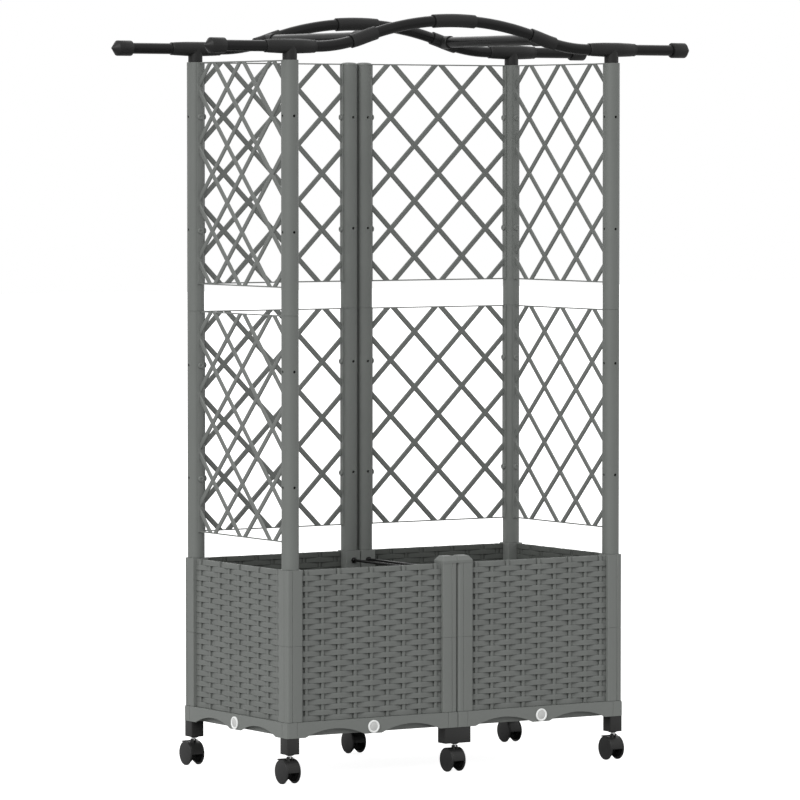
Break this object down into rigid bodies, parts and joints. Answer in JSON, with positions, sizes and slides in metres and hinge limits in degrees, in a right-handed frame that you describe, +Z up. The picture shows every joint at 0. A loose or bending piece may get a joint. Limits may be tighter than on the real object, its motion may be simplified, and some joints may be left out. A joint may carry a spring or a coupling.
{
  "type": "planter with trellis",
  "caption": "Rectangular wicker-look plastic planter on swivel casters, with diamond trellis panels between round posts on three sides and an arched tube frame on top.",
  "frame": {"origin": "on the floor, under the middle of the object's bounding box", "axes": "+Z up, +X to the right along the long side, -Y to the open front"},
  "size_m": [1.1584, 0.4294, 1.5207],
  "materials": {
    "grey_plastic": "satin moulded plastic, fine grain",
    "black_plastic": "satin moulded plastic",
    "black_tube": "smooth satin",
    "wheel_plastic": "satin moulded plastic with a worn tread",
    "pale_plastic": "satin, slightly translucent"
  },
  "bodies": {
    "planter": {"tray_left": "grey_plastic", "tray_right": "grey_plastic", "column_front_left": "grey_plastic", "column_front_right": "grey_plastic", "column_pair_front": "grey_plastic", "column_back_left": "grey_plastic", "column_back_right": "grey_plastic", "column_pair_back": "grey_plastic", "wall_front_left": "grey_plastic", "wall_front_right": "grey_plastic", "wall_back_left": "grey_plastic", "wall_back_right": "grey_plastic", "wall_left": "grey_plastic", "wall_right": "grey_plastic", "post_front_left": "grey_plastic", "post_front_right": "grey_plastic", "post_back_left": "grey_plastic", "post_back_right": "grey_plastic", "post_middle_left": "grey_plastic", "post_middle_right": "grey_plastic", "trellis_back_left_lower": "grey_plastic", "trellis_back_left_upper": "grey_plastic", "trellis_back_right_lower": "grey_plastic", "trellis_back_right_upper": "grey_plastic", "trellis_left_lower": "grey_plastic", "trellis_left_upper": "grey_plastic", "trellis_right_lower": "grey_plastic", "trellis_right_upper": "grey_plastic", "arch_front": "black_tube", "arch_back": "black_tube", "crossbar_left": "black_tube", "crossbar_right": "black_tube", "tie_rod_left": "black_tube", "tie_rod_right": "black_tube", "leg_block_front_left": "black_plastic", "leg_block_front_middle": "black_plastic", "leg_block_front_right": "black_plastic", "leg_block_back_left": "black_plastic", "leg_block_back_middle": "black_plastic", "leg_block_back_right": "black_plastic"},
    "caster_front_left": {"caster_housing_front_left": "black_plastic"},
    "wheels_front_left": {"caster_wheels_front_left": "wheel_plastic"},
    "brake_front_left": {"brake_lever_front_left": "black_plastic"},
    "caster_front_middle": {"caster_housing_front_middle": "black_plastic"},
    "wheels_front_middle": {"caster_wheels_front_middle": "wheel_plastic"},
    "caster_front_right": {"caster_housing_front_right": "black_plastic"},
    "wheels_front_right": {"caster_wheels_front_right": "wheel_plastic"},
    "brake_front_right": {"brake_lever_front_right": "black_plastic"},
    "caster_back_left": {"caster_housing_back_left": "black_plastic"},
    "wheels_back_left": {"caster_wheels_back_left": "wheel_plastic"},
    "brake_back_left": {"brake_lever_back_left": "black_plastic"},
    "caster_back_middle": {"caster_housing_back_middle": "black_plastic"},
    "wheels_back_middle": {"caster_wheels_back_middle": "wheel_plastic"},
    "caster_back_right": {"caster_housing_back_right": "black_plastic"},
    "wheels_back_right": {"caster_wheels_back_right": "wheel_plastic"},
    "brake_back_right": {"brake_lever_back_right": "black_plastic"},
    "plug_front_left": {"drain_plug_front_left": "pale_plastic"},
    "plug_front_right": {"drain_plug_front_right": "pale_plastic"},
    "plug_left": {"drain_plug_left": "pale_plastic"},
    "plug_right": {"drain_plug_right": "pale_plastic"}
  },
  "joints": [
    {"name": "swivel_front_left", "type": "hinge", "parent": "planter", "child": "caster_front_left", "pos_m": [-0.3871, -0.19508, 0.0615], "axis": [0, 0, 1], "continuous": true},
    {"name": "roll_front_left", "type": "hinge", "parent": "caster_front_left", "child": "wheels_front_left", "pos_m": [-0.3871, -0.18808, 0.0244], "axis": [1, 0, 0], "continuous": true},
    {"name": "brake_front_left", "type": "hinge", "parent": "caster_front_left", "child": "brake_front_left", "pos_m": [-0.3871, -0.18308, 0.039], "axis": [-1, 0, 0], "range_deg": [0, 12]},
    {"name": "swivel_front_middle", "type": "hinge", "parent": "planter", "child": "caster_front_middle", "pos_m": [0, -0.19508, 0.0615], "axis": [0, 0, 1], "continuous": true},
    {"name": "roll_front_middle", "type": "hinge", "parent": "caster_front_middle", "child": "wheels_front_middle", "pos_m": [0, -0.18808, 0.0244], "axis": [1, 0, 0], "continuous": true},
    {"name": "swivel_front_right", "type": "hinge", "parent": "planter", "child": "caster_front_right", "pos_m": [0.3871, -0.19508, 0.0615], "axis": [0, 0, 1], "continuous": true},
    {"name": "roll_front_right", "type": "hinge", "parent": "caster_front_right", "child": "wheels_front_right", "pos_m": [0.3871, -0.18808, 0.0244], "axis": [1, 0, 0], "continuous": true},
    {"name": "brake_front_right", "type": "hinge", "parent": "caster_front_right", "child": "brake_front_right", "pos_m": [0.3871, -0.18308, 0.039], "axis": [-1, 0, 0], "range_deg": [0, 12]},
    {"name": "swivel_back_left", "type": "hinge", "parent": "planter", "child": "caster_back_left", "pos_m": [-0.3871, 0.18332, 0.0615], "axis": [0, 0, 1], "continuous": true},
    {"name": "roll_back_left", "type": "hinge", "parent": "caster_back_left", "child": "wheels_back_left", "pos_m": [-0.3871, 0.19032, 0.0244], "axis": [1, 0, 0], "continuous": true},
    {"name": "brake_back_left", "type": "hinge", "parent": "caster_back_left", "child": "brake_back_left", "pos_m": [-0.3871, 0.19532, 0.039], "axis": [-1, 0, 0], "range_deg": [0, 12]},
    {"name": "swivel_back_middle", "type": "hinge", "parent": "planter", "child": "caster_back_middle", "pos_m": [0, 0.18332, 0.0615], "axis": [0, 0, 1], "continuous": true},
    {"name": "roll_back_middle", "type": "hinge", "parent": "caster_back_middle", "child": "wheels_back_middle", "pos_m": [0, 0.19032, 0.0244], "axis": [1, 0, 0], "continuous": true},
    {"name": "swivel_back_right", "type": "hinge", "parent": "planter", "child": "caster_back_right", "pos_m": [0.3871, 0.18332, 0.0615], "axis": [0, 0, 1], "continuous": true},
    {"name": "roll_back_right", "type": "hinge", "parent": "caster_back_right", "child": "wheels_back_right", "pos_m": [0.3871, 0.19032, 0.0244], "axis": [1, 0, 0], "continuous": true},
    {"name": "brake_back_right", "type": "hinge", "parent": "caster_back_right", "child": "brake_back_right", "pos_m": [0.3871, 0.19532, 0.039], "axis": [-1, 0, 0], "range_deg": [0, 12]},
    {"name": "pull_front_left", "type": "slide", "parent": "planter", "child": "plug_front_left", "axis": [0, -1, 0], "range_m": [0, 0.03]},
    {"name": "pull_front_right", "type": "slide", "parent": "planter", "child": "plug_front_right", "axis": [0, -1, 0], "range_m": [0, 0.03]},
    {"name": "pull_left", "type": "slide", "parent": "planter", "child": "plug_left", "axis": [-1, 0, 0], "range_m": [0, 0.03]},
    {"name": "pull_right", "type": "slide", "parent": "planter", "child": "plug_right", "axis": [1, 0, 0], "range_m": [0, 0.03]}
  ]
}
